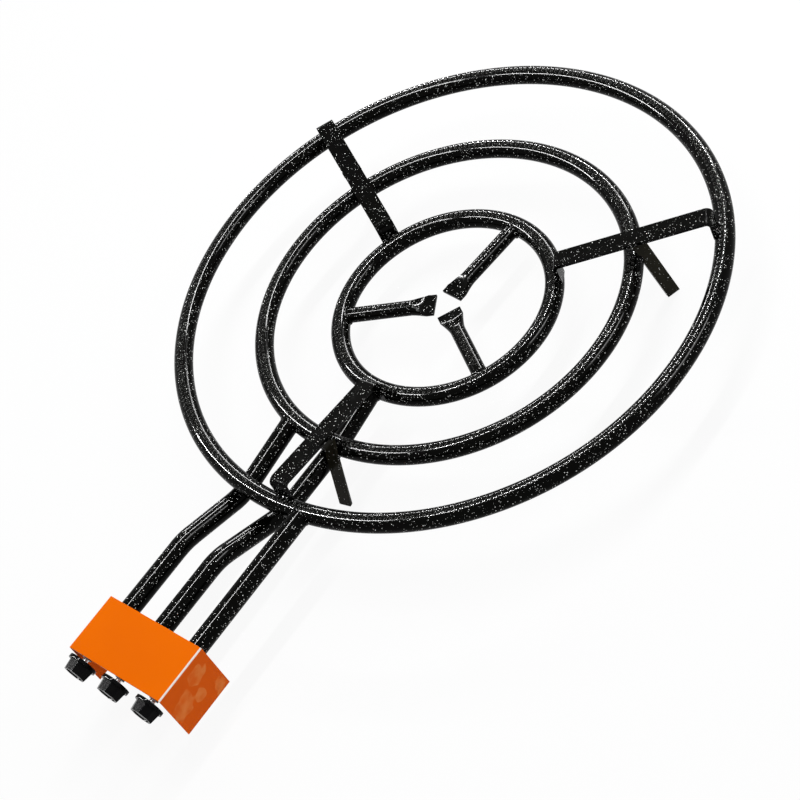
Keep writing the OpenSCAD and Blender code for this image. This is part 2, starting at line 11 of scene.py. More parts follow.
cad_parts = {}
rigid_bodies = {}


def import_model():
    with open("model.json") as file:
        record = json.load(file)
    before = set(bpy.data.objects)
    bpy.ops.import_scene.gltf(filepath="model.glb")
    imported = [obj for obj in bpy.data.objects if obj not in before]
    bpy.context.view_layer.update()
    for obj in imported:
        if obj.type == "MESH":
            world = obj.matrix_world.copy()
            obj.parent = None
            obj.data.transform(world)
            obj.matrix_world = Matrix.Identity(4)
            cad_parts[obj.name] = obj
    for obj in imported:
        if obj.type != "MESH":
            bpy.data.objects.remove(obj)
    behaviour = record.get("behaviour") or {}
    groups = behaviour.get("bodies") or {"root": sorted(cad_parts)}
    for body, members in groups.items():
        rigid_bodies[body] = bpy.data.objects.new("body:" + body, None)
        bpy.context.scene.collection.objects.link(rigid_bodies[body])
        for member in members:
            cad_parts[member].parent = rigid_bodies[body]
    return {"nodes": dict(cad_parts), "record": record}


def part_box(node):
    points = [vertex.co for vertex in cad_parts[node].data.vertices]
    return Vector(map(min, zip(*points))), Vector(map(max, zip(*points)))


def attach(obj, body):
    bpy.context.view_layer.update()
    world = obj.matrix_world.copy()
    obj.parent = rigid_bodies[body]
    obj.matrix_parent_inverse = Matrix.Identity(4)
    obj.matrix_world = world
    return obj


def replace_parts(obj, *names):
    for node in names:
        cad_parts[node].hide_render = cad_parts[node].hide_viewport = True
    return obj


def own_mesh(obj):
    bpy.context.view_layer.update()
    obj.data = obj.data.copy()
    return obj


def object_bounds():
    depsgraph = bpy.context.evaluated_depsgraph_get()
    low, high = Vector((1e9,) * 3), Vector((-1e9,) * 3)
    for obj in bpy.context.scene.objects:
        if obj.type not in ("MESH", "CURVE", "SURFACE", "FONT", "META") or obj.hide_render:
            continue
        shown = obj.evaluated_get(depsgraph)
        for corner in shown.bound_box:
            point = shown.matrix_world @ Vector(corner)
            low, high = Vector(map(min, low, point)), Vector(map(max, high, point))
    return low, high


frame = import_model()
cad_low, cad_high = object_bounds()
nodes = frame["nodes"]
MM = 0.001

# Camera: where it stands, what it looks at, and its roll
CAMERA_AT = Vector((1.2280, -0.6493, 1.5059))
CAMERA_AIM = Vector((0.0500, -0.0218, 0.0730))
CAMERA_ROLL = math.radians(-30.675)
CAMERA_LENS = 90
SENSOR_W = 36

# Flame ports, in metres
PORT_PITCH = 5.5 * MM
PORT_R = 1.0 * MM
PORT_RIM = 0.35 * MM
PORT_DEPTH = 1.4 * MM
PORT_ROW_TURN = math.radians(11)
UNDER_STEPS = 22
SHARP_ANGLE = math.radians(30)

# Centre spokes
SPOKE_TURNS = [math.radians(a) for a in (-150.2, -32.4, 84.4)]
SPOKE_SHIFTS = [-1.8 * MM, -1.0 * MM, 2.8 * MM]
SPOKE_R = 8 * MM
SPOKE_TIP = 12 * MM
PAD_CELLS = 1.5
CRIMP_CELLS = 3.5
PAD_HALF_W = 13 * MM
PAD_HALF_T = 1.5 * MM
FLARE_POWER = 1.4
TROUGH_DIP = 1.6 * MM
LIP_H = 0.5 * MM

# Pan support bars and legs, as they are welded: turn about the rings' axis and shift from it
BAR_TURNS = [math.radians(a) for a in (33.3, 150.7, 273.3)]
BAR_SHIFTS = [0.0, 22 * MM, 0.0]
BAR_W = 20 * MM
BAR_T = 4 * MM
BAR_RISE = 30 * MM
LEG_W = 14 * MM
LEG_T = 4 * MM
LEG_TWISTS = [math.radians(a) for a in (37, 90, 97)]
LEG_SPLAYS = [math.radians(a) for a in (10.5, 13, 15.5)]
LEG_SHIFTS = [0.0, 0.0, 4.5 * MM]
LEG_STAND_OFF = 3 * MM
LEG_TOP_SHARE = 0.45
EDGE_ROUND = 0.9 * MM
KNOB_ROUND = 1.2 * MM
HOOD_ROUND = 0.25 * MM

# Rise of the feed tubes where they meet their rings
FEED_SLOPES = {"outer": 0.0, "middle": math.radians(8), "inner": math.radians(9)}

# Painted reflections on the hood's right end plate, as pale blots: shares back from the front edge and
# down from the top, and radius
PAINTED_REFLECTIONS = [
    (0.66, 0.27, 28 * MM),
    (0.27, 0.50, 31 * MM),
    (0.50, 0.66, 25 * MM),
    (0.86, 0.80, 25 * MM),
]
REFLECTION_WAVER = 34 * MM
REFLECTION_EDGE = 2 * MM

# Return springs in the taps
WIRE_R = 0.4 * MM
WIRE_SIDES = 10
SPRING_TURNS = 5
SPRING_STEPS = 24

# Weld beads
BEAD_R = 1.9 * MM
EDGE_WELD_R = [1.2 * MM, 0.5 * MM, 1.3 * MM]
LEG_TOP_WELD_R = 1.6 * MM
LEG_RING_WELD_R = 1.5 * MM
BEAD_SIDES = 8
BEAD_STEP = 0.7 * MM
BEAD_END_SHARE = 0.35
RIPPLE = 3.2 * MM
RIPPLE_LOW = 0.82
RIPPLE_RISE = 0.22
BEAD_UNEVEN = 0.22
BEAD_GRAIN = 420
WELD_PROUD = 0.6 * MM
WELD_INSET = 1 * MM
SADDLE_STEP = 0.2 * MM
SADDLE_TRIES = 120

# Finishes: colours, shares of gloss and the speckle
NOISE_LOW = 0.3
NOISE_HIGH = 0.7
SPECK_SCALE = 620.0
SPECK_POWER = 1.8
SPECK_REACH = 0.42
SPECK_EDGE = 0.08
SPECK_DULL = (0.30, 0.30, 0.28, 1)
SPECK_WHITE = (0.86, 0.87, 0.84, 1)
ENAMEL_SHINE = 0.035
RIM_SHINE = 0.22
RIM_POWER = 6.0
# Painted highlight on the ports' rims: its share and its colour
RIM_GLINT_SHARE = 0.8
RIM_GLINT_PAINT = (0.08, 0.08, 0.075, 1)
BLACKEST = (0.0005, 0.0005, 0.0003, 1)
BLACK = (0.0016, 0.0016, 0.0011, 1)
# Painted reflection: the legs' enamel ground is lighter olive than the rest, standing in for the
# floor's reflection
LEG_SHEEN_DARK = (0.008, 0.0075, 0.005, 1)
LEG_SHEEN_LIGHT = (0.030, 0.027, 0.017, 1)
HOOD_SHINE = 0.03
HOOD_DEEP = (0.83, 0.140, 0.0006, 1)
HOOD_BRIGHT = (0.90, 0.165, 0.0008, 1)
# Painted shade: the hood's right end plate in a darker, redder orange than the rest
END_PLATE_SHADE = (0.84, 0.118, 0.002, 1)
# Colour of the painted reflections on the hood's right end plate
REFLECTION_PALE = (0.92, 0.26, 0.055, 1)
# Painted highlight along the hood's right fold: its colour and its reach in from the right side and
# down from the top
FOLD_HIGHLIGHT = (1.0, 0.93, 0.84, 1)
FOLD_ACROSS = (1.9 * MM, 1.5 * MM)
FOLD_DOWN = (1.6 * MM, 1.1 * MM)
PLASTIC_SHINE = 0.02

# Floor and surround
FLOOR_HALF = 40.0
FLOOR_DROP = 0.2 * MM
FLOOR_WHITE_SHARE = 0.92
WORLD_LEVEL = 0.30


def ring_of(node):
    """Centre, centreline radius and tube radius of a ring, from its box."""
    low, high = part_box(node)
    tube = (high.z - low.z) / 2
    return (low + high) / 2, (high.x - low.x) / 2 - tube, tube


def level_axes(turn):
    """The level directions along a turned line and to its left."""
    return Vector((math.cos(turn), math.sin(turn), 0)), Vector((-math.sin(turn), math.cos(turn), 0))


def shader(name, **values):
    """A material with its Principled node set to these values."""
    material = bpy.data.materials.new(name)
    material.use_nodes = True
    tree = material.node_tree
    surface = tree.nodes["Principled BSDF"]
    for socket, value in values.items():
        surface.inputs[socket.replace("_", " ")].default_value = value
    return material, tree, surface


def add_node(tree, kind, inputs=None, **settings):
    """A shader node with its settings; each input is a value or a socket to link from."""
    node = tree.nodes.new(kind)
    for key, value in settings.items():
        setattr(node, key, value)
    for key, value in (inputs or {}).items():
        if isinstance(value, bpy.types.NodeSocket):
            tree.links.new(value, node.inputs[key])
        else:
            node.inputs[key].default_value = value
    return node


def place_coordinates(tree):
    return tree.nodes.new("ShaderNodeTexCoord").outputs["Object"]


def mixed(tree, factor, dark, light):
    """A colour between two, by a factor socket."""
    mix = add_node(tree, "ShaderNodeMix", data_type="RGBA")
    tree.links.new(factor, mix.inputs["Factor"])
    for socket, colour in (("A", dark), ("B", light)):
        target = next(i for i in mix.inputs if i.name == socket and i.type == "RGBA")
        if isinstance(colour, bpy.types.NodeSocket):
            tree.links.new(colour, target)
        else:
            target.default_value = colour
    return next(o for o in mix.outputs if o.type == "RGBA")


def ranged(tree, value, low, high, to_low, to_high):
    node = add_node(tree, "ShaderNodeMapRange", {
        "Value": value, "From Min": low, "From Max": high, "To Min": to_low, "To Max": to_high,
    })
    return node.outputs["Result"]


def roughened(tree, surface, pattern, smooth, rough):
    """Roughness between two values, by a noise pattern."""
    gloss = ranged(tree, pattern, NOISE_LOW, NOISE_HIGH, smooth, rough)
    tree.links.new(gloss, surface.inputs["Roughness"])


def bumped(tree, surface, height, strength, distance):
    bump = add_node(tree, "ShaderNodeBump", {
        "Height": height, "Strength": strength, "Distance": distance,
    })
    tree.links.new(bump.outputs["Normal"], surface.inputs["Normal"])


def noise_at(tree, where, scale, detail=2.0):
    node = add_node(tree, "ShaderNodeTexNoise", {"Vector": where, "Scale": scale, "Detail": detail})
    return node.outputs["Fac"]


def enamel_material(name, bare, darkest, lightest):
    """Gloss enamel between two near-black colours, with fine white specks of uneven size, and on the
    ports' rims more gloss and a painted highlight, a paler colour. A share of its cells stays bare of
    specks."""
    material, tree, surface = shader(name)
    where = place_coordinates(tree)
    cells = add_node(tree, "ShaderNodeTexVoronoi", {
        "Vector": where, "Scale": SPECK_SCALE, "Randomness": 1.0,
    })
    chance = add_node(tree, "ShaderNodeSeparateColor", {"Color": cells.outputs["Color"]})
    share = ranged(tree, chance.outputs["Red"], bare, 1.0, 0.0, 1.0)
    size = add_node(tree, "ShaderNodeMath", {0: share, 1: SPECK_POWER}, operation="POWER")
    reach = ranged(tree, size.outputs["Value"], 0.0, 1.0, 0.0, SPECK_REACH)
    depth = add_node(tree, "ShaderNodeMath", {
        0: reach, 1: cells.outputs["Distance"],
    }, operation="SUBTRACT")
    speck = ranged(tree, depth.outputs["Value"], 0.0, SPECK_EDGE, 0.0, 1.0)
    ground = mixed(tree, noise_at(tree, where, scale=40.0), darkest, lightest)
    white = mixed(tree, chance.outputs["Green"], SPECK_DULL, SPECK_WHITE)
    speckled = mixed(tree, speck, ground, white)
    # The ports' rims get a painted highlight, a paler colour standing in for glints, and more gloss.
    rim = add_node(tree, "ShaderNodeAttribute", attribute_name="rim")
    near = add_node(tree, "ShaderNodeMath", {0: rim.outputs["Fac"], 1: RIM_POWER}, operation="POWER")
    pale = ranged(tree, near.outputs["Value"], 0.0, 1.0, 0.0, RIM_GLINT_SHARE)
    tree.links.new(mixed(tree, pale, speckled, RIM_GLINT_PAINT), surface.inputs["Base Color"])
    shine = ranged(tree, near.outputs["Value"], 0.0, 1.0, ENAMEL_SHINE, RIM_SHINE)
    tree.links.new(shine, surface.inputs["Specular IOR Level"])
    roughened(tree, surface, noise_at(tree, where, scale=90.0, detail=3.0), 0.07, 0.14)
    bumped(tree, surface, noise_at(tree, where, scale=200.0), strength=0.02, distance=0.0004)
    return material


def hood_material():
    """Gloss orange paint over slightly wavy sheet, with painted shade and painted reflections on the
    right end plate and a painted highlight along the right fold.
    """
    material, tree, surface = shader("hood_paint", Specular_IOR_Level=HOOD_SHINE)
    where = place_coordinates(tree)
    tint = mixed(tree, noise_at(tree, where, scale=14.0), HOOD_DEEP, HOOD_BRIGHT)
    facing = add_node(tree, "ShaderNodeNewGeometry")
    normal = add_node(tree, "ShaderNodeSeparateXYZ", {"Vector": facing.outputs["Normal"]})
    on_end = ranged(tree, normal.outputs["X"], 0.75, 0.9, 0.0, 1.0)
    low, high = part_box("control_hood")
    waver = noise_at(tree, where, scale=60.0, detail=1.0)
    clear = None
    for back, down, radius in PAINTED_REFLECTIONS:
        spot = Vector((high.x, low.y + back * (high.y - low.y), high.z - down * (high.z - low.z)))
        away = add_node(tree, "ShaderNodeVectorMath", {0: where, 1: spot}, operation="DISTANCE")
        ragged = add_node(tree, "ShaderNodeMath", {
            0: waver, 1: REFLECTION_WAVER, 2: away.outputs["Value"],
        }, operation="MULTIPLY_ADD")
        near = ranged(tree, ragged.outputs["Value"], radius, radius + REFLECTION_EDGE, 1.0, 0.0)
        if clear is not None:
            joined = add_node(tree, "ShaderNodeMath", {0: clear, 1: near}, operation="MAXIMUM")
            near = joined.outputs["Value"]
        clear = near
    # The pale blots are painted reflections of uneven strength, laid only on the end plate.
    shade = ranged(tree, noise_at(tree, where, scale=70.0), 0.35, 0.65, 0.15, 0.85)
    blots = add_node(tree, "ShaderNodeMath", {0: clear, 1: shade}, operation="MULTIPLY")
    sheen = add_node(tree, "ShaderNodeMath", {
        0: on_end, 1: blots.outputs["Value"],
    }, operation="MULTIPLY")
    # Painted shade: faces turned to the right end take a darker, redder orange.
    deep = mixed(tree, on_end, tint, END_PLATE_SHADE)
    painted = mixed(tree, sheen.outputs["Value"], deep, REFLECTION_PALE)
    # Painted highlight: a near-white line along the hood's right fold.
    place = add_node(tree, "ShaderNodeSeparateXYZ", {"Vector": where})
    by_x = ranged(tree, place.outputs["X"], high.x - FOLD_ACROSS[0], high.x - FOLD_ACROSS[1], 0.0, 1.0)
    by_z = ranged(tree, place.outputs["Z"], high.z - FOLD_DOWN[0], high.z - FOLD_DOWN[1], 0.0, 1.0)
    fold = add_node(tree, "ShaderNodeMath", {0: by_x, 1: by_z}, operation="MULTIPLY")
    colour = mixed(tree, fold.outputs["Value"], painted, FOLD_HIGHLIGHT)
    tree.links.new(colour, surface.inputs["Base Color"])
    roughened(tree, surface, noise_at(tree, where, scale=60.0), 0.10, 0.17)
    bumped(tree, surface, noise_at(tree, where, scale=26.0, detail=1.0), strength=0.12, distance=0.0016)
    return material


def metal_material(name, dark, light, rough):
    """Turned metal with faint streaks."""
    material, tree, surface = shader(name, Metallic=1.0)
    where = place_coordinates(tree)
    tint = mixed(tree, noise_at(tree, where, scale=180.0, detail=3.0), dark, light)
    tree.links.new(tint, surface.inputs["Base Color"])
    roughened(tree, surface, noise_at(tree, where, scale=420.0), rough * 0.8, rough * 1.25)
    bumped(tree, surface, noise_at(tree, where, scale=900.0), strength=0.08, distance=0.0002)
    return material


def plastic_material(name, dark, light, rough, grain):
    """Moulded plastic or blackened metal with a fine grain."""
    material, tree, surface = shader(name, Specular_IOR_Level=PLASTIC_SHINE)
    where = place_coordinates(tree)
    tint = mixed(tree, noise_at(tree, where, scale=120.0), dark, light)
    tree.links.new(tint, surface.inputs["Base Color"])
    roughened(tree, surface, noise_at(tree, where, scale=700.0), rough * 0.85, rough * 1.2)
    bumped(tree, surface, noise_at(tree, where, scale=1600.0), strength=grain, distance=0.0002)
    return material


MATERIALS = {
    "enamel": enamel_material("enamel", 0.2, BLACKEST, BLACK),
    "hood_paint": hood_material(),
    "steel": metal_material("steel", (0.50, 0.51, 0.52, 1), (0.66, 0.67, 0.68, 1), 0.26),
    "brass": metal_material("brass", (0.60, 0.40, 0.14, 1), (0.76, 0.54, 0.22, 1), 0.28),
    "valve_black": plastic_material(
        "valve_black", (0.007, 0.007, 0.007, 1), (0.015, 0.015, 0.015, 1), 0.16, 0.05
    ),
    "knob_plastic": plastic_material(
        "knob_plastic", (0.003, 0.003, 0.0033, 1), (0.007, 0.007, 0.0074, 1), 0.12, 0.03
    ),
}

BAR_ENAMEL = enamel_material("bar_enamel", 0.3, BLACKEST, BLACK)
# The legs' enamel carries a painted reflection: a lighter olive ground.
LEG_ENAMEL_SHEEN = enamel_material("leg_enamel_sheen", 0.6, LEG_SHEEN_DARK, LEG_SHEEN_LIGHT)


def piece(name, mesh, slot, body="burner"):
    """An object of the burner, with the finish of a material slot, that rides on a body."""
    mesh.materials.append(MATERIALS[slot])
    obj = bpy.data.objects.new(name, mesh)
    bpy.context.scene.collection.objects.link(obj)
    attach(obj, body)
    return obj


def finished_mesh(name, bm):
    """A mesh with outward faces, smooth shading and sharp edges by angle."""
    bmesh.ops.recalc_face_normals(bm, faces=bm.faces)
    mesh = bpy.data.meshes.new(name)
    bm.to_mesh(mesh)
    bm.free()
    for polygon in mesh.polygons:
        polygon.use_smooth = True
    mesh.set_sharp_from_angle(angle=SHARP_ANGLE)
    return mesh


def ported_skin(name, place, cells, closed, radius, has_port):
    """A tube skin with two staggered rows of drilled ports along its top.

    place(s, turn, depth) gives a point from the distance along the tube, in cells, the turn
    from the top and the depth under the skin."""
    bm = bmesh.new()
    rim = bm.verts.layers.float.new("rim")
    columns = 2 * cells if closed else 2 * cells + 1
    turns = [-2 * PORT_ROW_TURN, -PORT_ROW_TURN, 0.0, PORT_ROW_TURN, 2 * PORT_ROW_TURN]
    step = (2 * math.pi - 4 * PORT_ROW_TURN) / UNDER_STEPS
    turns += [2 * PORT_ROW_TURN + step * i for i in range(1, UNDER_STEPS)]
    grid = [[bm.verts.new(place(c / 2, t, 0.0)) for t in turns] for c in range(columns)]

    def corner(c, r):
        return grid[c % columns if closed else c][r % len(turns)]

    def plain(c, r):
        bm.faces.new((corner(c, r), corner(c + 1, r), corner(c + 1, r + 1), corner(c, r + 1)))

    def drilled(c, r):
        edge = [(0, 0), (1, 0), (2, 0), (2, 1), (2, 2), (1, 2), (0, 2), (0, 1)]
        previous = [corner(c + i, r + j) for i, j in edge]
        for port_r, depth in ((PORT_R + PORT_RIM, 0.0), (PORT_R, PORT_RIM), (PORT_R, PORT_DEPTH)):
            loop = []
            for i, j in edge:
                way = math.atan2(j - 1, i - 1)
                along = (c + 1) / 2 + port_r / PORT_PITCH * math.cos(way)
                turn = turns[r + 1] + port_r / radius * math.sin(way)
                loop.append(bm.verts.new(place(along, turn, depth)))
                loop[-1][rim] = 1.0 if depth < PORT_DEPTH else 0.0
            for k in range(len(edge)):
                n = (k + 1) % len(edge)
                bm.faces.new((previous[k], previous[n], loop[n], loop[k]))
            previous = loop
        bm.faces.new(previous)

    for row, shift in ((0, 0), (2, 1)):
        for cell in range(cells if closed or not shift else cells - 1):
            c = 2 * cell + shift
            if has_port(cell):
                drilled(c, row)
            else:
                for i in range(2):
                    for j in range(2):
                        plain(c + i, row + j)
        if shift and not closed:
            for c in (0, 2 * cells - 1):
                plain(c, row)
                plain(c, row + 1)
    for c in range(columns if closed else columns - 1):
        for r in range(4, len(turns)):
            plain(c, r)
    if not closed:
        bm.faces.new(grid[0])
        bm.faces.new(grid[-1])
    return finished_mesh(name, bm)


def ring_skin(node):
    """One ring with its full rows of flame ports."""
    centre, ring_r, tube_r = ring_of(node)
    cells = round(2 * math.pi * ring_r / PORT_PITCH)

    def place(s, turn, depth):
        way = 2 * math.pi * s / cells
        reach = ring_r + (tube_r - depth) * math.sin(turn)
        up = (tube_r - depth) * math.cos(turn)
        return centre + Vector((reach * math.cos(way), reach * math.sin(way), up))

    mesh = ported_skin(node + "_skin", place, cells, True, tube_r, lambda k: True)
    skin = piece(node + "_skin", mesh, "enamel")
    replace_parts(skin, node)


def spoke_skin(index):
    """One spoke: a tube from the inner ring that flattens to a pad at its tip."""
    centre, ring_r, tube_r = ring_of("inner_ring")
    along, across = level_axes(SPOKE_TURNS[index])
    centre = centre + across * SPOKE_SHIFTS[index]
    reach = ring_r - tube_r * 0.5 - SPOKE_TIP
    cells = round(reach / PORT_PITCH)
    fold_top = 2 * PORT_ROW_TURN
    fold_side = (math.pi - fold_top) * 2 / UNDER_STEPS
    fold_low = math.pi - fold_side

    def pressed_turn(turn, fold):
        """Moves the skin's turns so that a line of them runs along the pressed facet's edge."""
        low_fold = math.pi - fold
        if turn <= fold_top:
            return turn * fold / fold_top
        if turn >= fold_low:
            return math.pi - (math.pi - turn) * fold / fold_side
        return fold + (turn - fold_top) * (low_fold - fold) / (fold_low - fold_top)

    def place(s, turn, depth):
        share = min(1.0, max(0.0, (PAD_CELLS + CRIMP_CELLS - s) / CRIMP_CELLS))
        half_w = SPOKE_R + (PAD_HALF_W - SPOKE_R) * share ** FLARE_POWER
        half_t = SPOKE_R + (PAD_HALF_T - SPOKE_R) * share
        turn = math.remainder(turn, 2 * math.pi)
        way = math.copysign(1.0, turn)
        facet = abs(turn) / fold_top
        if share > 0:
            turn = way * pressed_turn(abs(turn), max(fold_top, math.acos(half_t / SPOKE_R)))
        y = (half_w - depth) * math.sin(turn)
        z = max(-half_t, min(half_t, (SPOKE_R - depth) * math.cos(turn)))
        if 0 < share < 1 and facet < 1:
            z -= TROUGH_DIP * 4 * share * (1 - share) * (1 - facet)
        if facet <= 1 and abs(s - PAD_CELLS) < 0.1:
            z += LIP_H
        return centre + along * (SPOKE_TIP + reach * s / cells) + across * y + Vector((0, 0, z))

    first = math.ceil(PAD_CELLS + CRIMP_CELLS)
    name = f"centre_spoke_{index + 1}"
    mesh = ported_skin(name + "_skin", place, cells, False, SPOKE_R, lambda k: first <= k < cells - 2)
    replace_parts(piece(name + "_skin", mesh, "enamel"), name)


def bead(name, points, seed, closed=False, radius=BEAD_R):
    """A weld bead: a rippled, uneven rod along a line of points."""
    draw = random.Random(seed)
    line = [Vector(p) for p in points]
    if closed:
        line.append(line[0])
    stations = [line[0]]
    for a, b in zip(line, line[1:]):
        count = max(1, round((b - a).length / BEAD_STEP))
        stations += [a.lerp(b, (i + 1) / count) for i in range(count)]
    if closed:
        stations.pop()
    bm = bmesh.new()
    loops = []
    walked = 0.0
    offset = Vector((draw.random(), draw.random(), draw.random())) * 50
    last = len(stations) - 1
    for i, at in enumerate(stations):
        ahead = stations[(i + 1) % len(stations)] if closed else stations[min(i + 1, last)]
        behind = stations[i - 1] if closed or i else stations[0]
        walked += (at - behind).length if i else 0.0
        run = (ahead - behind).normalized()
        side = run.orthogonal().normalized()
        up = run.cross(side)
        from_end = min(i, last - i) * BEAD_STEP / radius
        taper = 1.0 if closed else min(1.0, BEAD_END_SHARE + (1 - BEAD_END_SHARE) * from_end)
        swell = RIPPLE_LOW + RIPPLE_RISE * abs(math.sin(math.pi * walked / RIPPLE))
        loop = []
        for k in range(BEAD_SIDES):
            a = 2 * math.pi * k / BEAD_SIDES
            out = side * math.cos(a) + up * math.sin(a)
            rough = 1 + BEAD_UNEVEN * noise.noise((at + out * radius) * BEAD_GRAIN + offset)
            loop.append(bm.verts.new(at + out * radius * taper * swell * rough))
        loops.append(loop)
    pairs = list(zip(loops, loops[1:]))
    if closed:
        pairs.append((loops[-1], loops[0]))
    for a, b in pairs:
        turn = min(range(BEAD_SIDES), key=lambda t: (a[0].co - b[t].co).length)
        for k in range(BEAD_SIDES):
            n = (k + 1) % BEAD_SIDES
            bm.faces.new((a[k], a[n], b[(n + turn) % BEAD_SIDES], b[(k + turn) % BEAD_SIDES]))
    if not closed:
        bm.faces.new(loops[0])
        bm.faces.new(loops[-1])
    return piece(name, finished_mesh(name, bm), "enamel")


def saddle(origin, along, across, tube_r, ring, points=40):
    """The line where a tube meets a ring's skin: a loop of points round the tube."""
    centre, ring_r, ring_tube = ring
    up = along.cross(across).normalized()
    found = []
    for k in range(points):
        a = 2 * math.pi * k / points
        at = origin + across * (tube_r * math.cos(a)) + up * (tube_r * math.sin(a))
        for _ in range(SADDLE_TRIES):
            flat = Vector((at.x - centre.x, at.y - centre.y))
            if Vector((flat.length - ring_r, at.z - centre.z)).length <= ring_tube:
                break
            at = at + along * SADDLE_STEP
        found.append(at)
    return found


def round_edges(obj, width):
    """Joins a node's split corners and rounds its edges."""
    weld = obj.modifiers.new("join", "WELD")
    weld.merge_threshold = 0.01 * MM
    bevel = obj.modifiers.new("round", "BEVEL")
    bevel.width = width
    bevel.segments = 2
    bevel.limit_method = "ANGLE"
    bevel.angle_limit = math.radians(35)
    bevel.harden_normals = True


def dress_nodes():
    """Every node that stays takes its slot's finish."""
    for row in frame["record"]["subparts"]:
        obj = nodes[row["node"]]
        obj.data.materials.clear()
        obj.data.materials.append(MATERIALS[row["material_slot"]])
    for i in (1, 2, 3):
        for node, finish in ((f"pan_support_{i}", BAR_ENAMEL), (f"leg_{i}", LEG_ENAMEL_SHEEN)):
            nodes[node].data.materials[0] = finish
            round_edges(nodes[node], EDGE_ROUND)
        round_edges(nodes[f"knob_{i}"], KNOB_ROUND)
    round_edges(nodes["control_hood"], HOOD_ROUND)


def make_ring_welds():
    """Beads where spokes and feed tubes meet their rings."""
    inner = ring_of("inner_ring")
    centre, ring_r, tube_r = inner
    for i, turn in enumerate(SPOKE_TURNS):
        along, across = level_axes(turn)
        start = centre + along * (ring_r - 1.6 * tube_r) + across * SPOKE_SHIFTS[i]
        bead(f"spoke_weld_{i + 1}", saddle(start, along, across, SPOKE_R, inner), 10 + i, closed=True)
    for i, (name, slope) in enumerate(FEED_SLOPES.items()):
        ring = ring_of(name + "_ring")
        low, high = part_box(name + "_feed_tube")
        x = (low.x + high.x) / 2
        reach = math.sqrt(ring[1] ** 2 - (x - ring[0].x) ** 2)
        along = Vector((0, math.cos(slope), math.sin(slope)))
        start = Vector((x, ring[0].y - reach, ring[0].z)) - along * 2 * ring[2]
        loop = saddle(start, along, Vector((1, 0, 0)), 0.93 * ring[2], ring)
        bead(f"{name}_feed_weld", loop, 20 + i, closed=True)


def bar_reach(ring, radius, turn, shift):
    """Distance along a bar's line, from the rings' axis, to a ring of that radius."""
    axis = ring_of("outer_ring")[0]
    along, across = level_axes(turn)
    offset = ring[0] - axis
    return offset.dot(along) + math.sqrt(radius ** 2 - (shift - offset.dot(across)) ** 2)


def make_bar_welds():
    """Beads at the ends of the bars, round the legs' tops and where the legs pass the middle ring."""
    outer, middle, inner = (ring_of(n) for n in ("outer_ring", "middle_ring", "inner_ring"))
    axis, tube_r = outer[0], outer[2]
    half = BAR_W / 2 - WELD_INSET
    for i, (turn, shift) in enumerate(zip(BAR_TURNS, BAR_SHIFTS)):
        along, across = level_axes(turn)
        up = Vector((0, 0, 1))

        def spot(out, side, z):
            return axis + along * out + across * (shift + side) + up * z

        end = bar_reach(outer, outer[1] - tube_r + BAR_T, turn, shift)
        rise = math.sqrt(tube_r ** 2 - (tube_r - BAR_T) ** 2)
        line = [spot(end + WELD_PROUD, s, rise) for s in (-half, half)]
        bead(f"bar_outer_weld_{i + 1}", line, 30 + i)
        start = bar_reach(inner, inner[1] + tube_r - BAR_T, turn, shift)
        low = inner[0].z - axis.z
        line = [spot(start - WELD_PROUD, s, low + rise) for s in (-half, half)]
        bead(f"bar_inner_weld_{i + 1}", line, 40 + i)

        drop = middle[0].z - axis.z
        reach = bar_reach(middle, middle[1] + tube_r, turn, shift + LEG_SHIFTS[i]) + LEG_STAND_OFF
        lean = math.tan(LEG_SPLAYS[i])
        fall = (inner[0].z - axis.z) / (start - end)
        top_at = reach - lean * (BAR_RISE * LEG_TOP_SHARE - drop)
        top_z = BAR_RISE - BAR_T - fall * (end - top_at)
        wide, thick = level_axes(turn + LEG_TWISTS[i])
        corners = [(-1, -1), (1, -1), (1, 1), (-1, 1)]
        top = spot(top_at, LEG_SHIFTS[i], top_z - 0.8 * MM)
        loop = [top + wide * (a * LEG_W / 2) + thick * (b * LEG_T / 2) for a, b in corners]
        bead(f"leg_top_weld_{i + 1}", loop, 50 + i, closed=True, radius=LEG_TOP_WELD_R)
        for side in (-1, 1):
            line = []
            for z in (-6 * MM, 0.0, 6 * MM):
                at = spot(reach - lean * z, LEG_SHIFTS[i], drop + z)
                line.append(at + wide * (side * (LEG_W / 2 - WELD_INSET)))
            bead(f"leg_ring_weld_{i + 1}_{side + 2}", line, 60 + 2 * i + side, radius=LEG_RING_WELD_R)
            edge = [spot(top_at + a, side * BAR_W / 2, top_z + BAR_T * 0.4) for a in (-5 * MM, 5 * MM)]
            bead(f"bar_edge_weld_{i + 1}_{side + 2}", edge, 80 + 2 * i + side, radius=EDGE_WELD_R[i])


